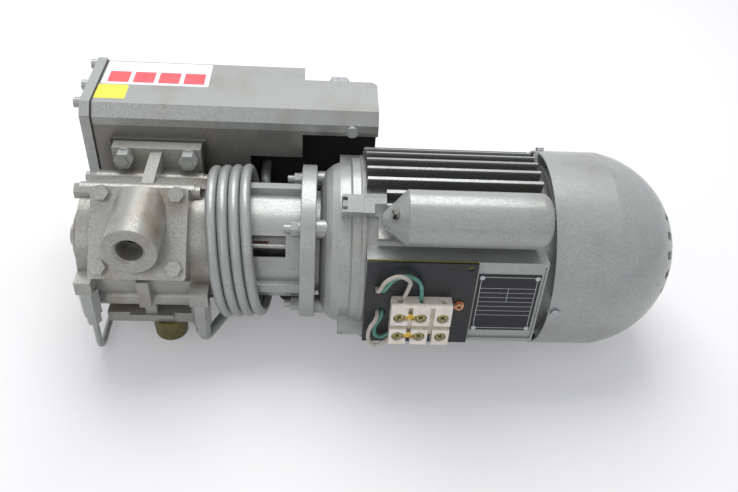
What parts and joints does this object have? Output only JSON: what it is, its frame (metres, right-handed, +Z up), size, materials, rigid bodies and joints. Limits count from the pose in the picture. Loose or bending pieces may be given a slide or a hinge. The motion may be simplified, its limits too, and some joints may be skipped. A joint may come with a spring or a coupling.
{
  "type": "rotary vane vacuum pump",
  "caption": "Oil-sealed rotary vane vacuum pump with slanted inlet tube, finned direct-drive motor, coiled oil cooler and oil box; shaft, vanes and inlet valve move.",
  "frame": {"origin": "centre of the footprint, on the plane that the feet and the fan hood stand on", "axes": "+X along the shaft from the pump to the fan hood, +Y from the inlet side to the oil box, +Z up"},
  "size_m": [0.4704, 0.2212, 0.1676],
  "materials": {
    "aluminium": "cast",
    "black_rubber": "matt",
    "block": "satin",
    "board": "matt",
    "brass": "polished",
    "bronze": "machined",
    "capacitor_can": "satin",
    "copper": "enamelled winding",
    "enamel": "satin",
    "fan_plastic": "matt",
    "filter_paper": "pleated",
    "foot_rubber": "matt",
    "gasket": "matt",
    "lamination": "laminated",
    "plate": "anodised",
    "plug_steel": "zinc plated",
    "spider_rubber": "matt",
    "steel": "machined",
    "vane_composite": "matt",
    "wire": "matt",
    "wire_green": "matt"
  },
  "bodies": {
    "pump_body": {"board_screw": "copper", "bushes": "bronze", "capacitor": "capacitor_can", "capacitor_cover": "enamel", "capacitor_screw": "plug_steel", "end_shield": "enamel", "exhaust_filter": "filter_paper", "exhaust_valve": "steel", "fan_hood": "enamel", "feet_box": "foot_rubber", "filler_plug": "plug_steel", "foot_front": "foot_rubber", "foot_lantern": "black_rubber", "front_plug": "enamel", "hood_screws": "plug_steel", "inlet_bolts": "enamel", "inlet_flange": "enamel", "inlet_gasket": "gasket", "inlet_strainer": "steel", "lantern": "enamel", "lantern_screws": "steel", "left_cover": "enamel", "lid_screws": "enamel", "line_unions": "enamel", "motor_bearings": "steel", "mounting_bolts": "enamel", "mounting_gasket": "gasket", "oil_box": "enamel", "oil_box_gasket": "gasket", "oil_box_lid": "enamel", "oil_coil": "enamel", "pump_cylinder": "enamel", "rating_plate": "plate", "rear_shield": "enamel", "return_pipe": "enamel", "right_cover": "enamel", "ring_bolts": "enamel", "shaft_seal": "black_rubber", "shield_bolts": "enamel", "stator_core": "lamination", "stator_housing": "enamel", "terminal_block": "block", "terminal_board": "board", "terminal_gasket": "gasket", "terminal_links": "brass", "terminal_screws": "brass", "tie_bolts": "enamel", "windings": "copper", "wires_green": "wire_green", "wires_grey": "wire"},
    "rotating_group": {"pump_rotor": "steel", "pump_hub": "aluminium", "coupling_spider": "spider_rubber", "motor_hub": "aluminium", "motor_rotor": "steel", "cooling_fan": "fan_plastic"},
    "valve_disc": {"check_valve_disc": "steel"},
    "vane_1_body": {"vane_1": "vane_composite"},
    "vane_2_body": {"vane_2": "vane_composite"},
    "vane_3_body": {"vane_3": "vane_composite"}
  },
  "joints": [
    {"name": "shaft_spin", "type": "hinge", "parent": "pump_body", "child": "rotating_group", "pos_m": [-0.1708, -0.02615, 0.077], "axis": [1, 0, 0], "continuous": true},
    {"name": "vane_1_slide", "type": "slide", "parent": "rotating_group", "child": "vane_1_body", "axis": [0, -0.9272, 0.3746], "range_m": [0, 0.00463]},
    {"name": "vane_2_slide", "type": "slide", "parent": "rotating_group", "child": "vane_2_body", "axis": [0, 0.788, 0.6157], "range_m": [0, 0.00062]},
    {"name": "vane_3_slide", "type": "slide", "parent": "rotating_group", "child": "vane_3_body", "axis": [0, 0.1392, -0.9903], "range_m": [0, 0.00062]},
    {"name": "check_valve_lift", "type": "slide", "parent": "pump_body", "child": "valve_disc", "axis": [0, 0.7071, -0.7071], "range_m": [0, 0.004]}
  ]
}
